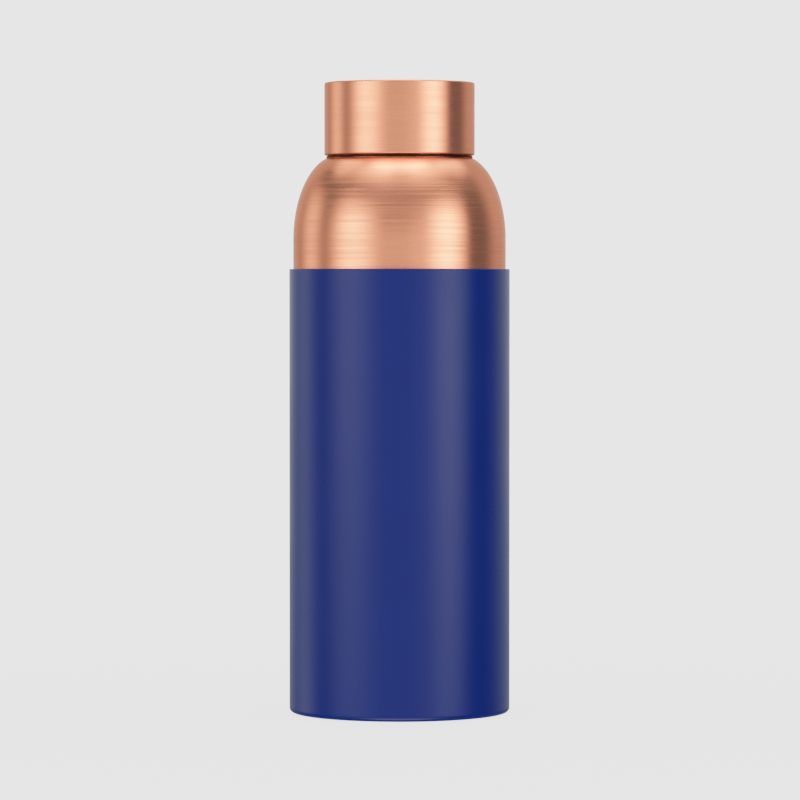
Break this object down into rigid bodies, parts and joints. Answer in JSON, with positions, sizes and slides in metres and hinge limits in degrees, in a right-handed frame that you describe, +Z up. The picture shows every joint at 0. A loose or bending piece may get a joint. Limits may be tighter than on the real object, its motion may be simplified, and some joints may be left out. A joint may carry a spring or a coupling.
{
  "type": "water bottle",
  "caption": "Slim round copper water bottle: straight body in a blue silicone sleeve, domed shoulder, short threaded neck and a straight-sided screw cap.",
  "frame": {"origin": "centre of the foot, on the plane the bottle stands on", "axes": "+Z up the bottle's axis, from the foot to the cap; X and Y lie in the standing plane, and the bottle looks the same from every side"},
  "size_m": [0.0748, 0.0748, 0.2136],
  "materials": {
    "sleeve_silicone": "smooth satin dark blue silicone",
    "spun_copper": "bare copper, brushed round the axis, satin",
    "cap_copper": "bare copper, finely brushed round the axis, satin",
    "turned_copper": "bare copper, turned",
    "liner_plastic": "moulded food-grade plastic, natural white",
    "seal_silicone": "translucent white silicone"
  },
  "bodies": {
    "sleeve": {"sleeve": "sleeve_silicone"},
    "bottle": {"body_shell": "spun_copper", "base_disc": "spun_copper", "neck_ring": "turned_copper"},
    "seal": {"cap_seal": "seal_silicone", "cap_disc": "turned_copper"},
    "cap": {"cap_shell": "cap_copper", "cap_liner": "liner_plastic"}
  },
  "joints": [
    {"name": "bottle_out", "type": "slide", "parent": "sleeve", "child": "bottle", "axis": [0, 0, 1], "range_m": [0, 0.155]},
    {"name": "cap_rise", "type": "slide", "parent": "bottle", "child": "seal", "axis": [0, 0, 1], "range_m": [0, 0.0301]},
    {"name": "cap_turn", "type": "hinge", "parent": "seal", "child": "cap", "pos_m": [0, 0, 0.2], "axis": [0, 0, 1], "range_deg": [0, 2160]}
  ],
  "couplings": [
    {"joint": "cap_rise", "follows": "cap_turn", "m_per_rad": 0.00079577}
  ]
}
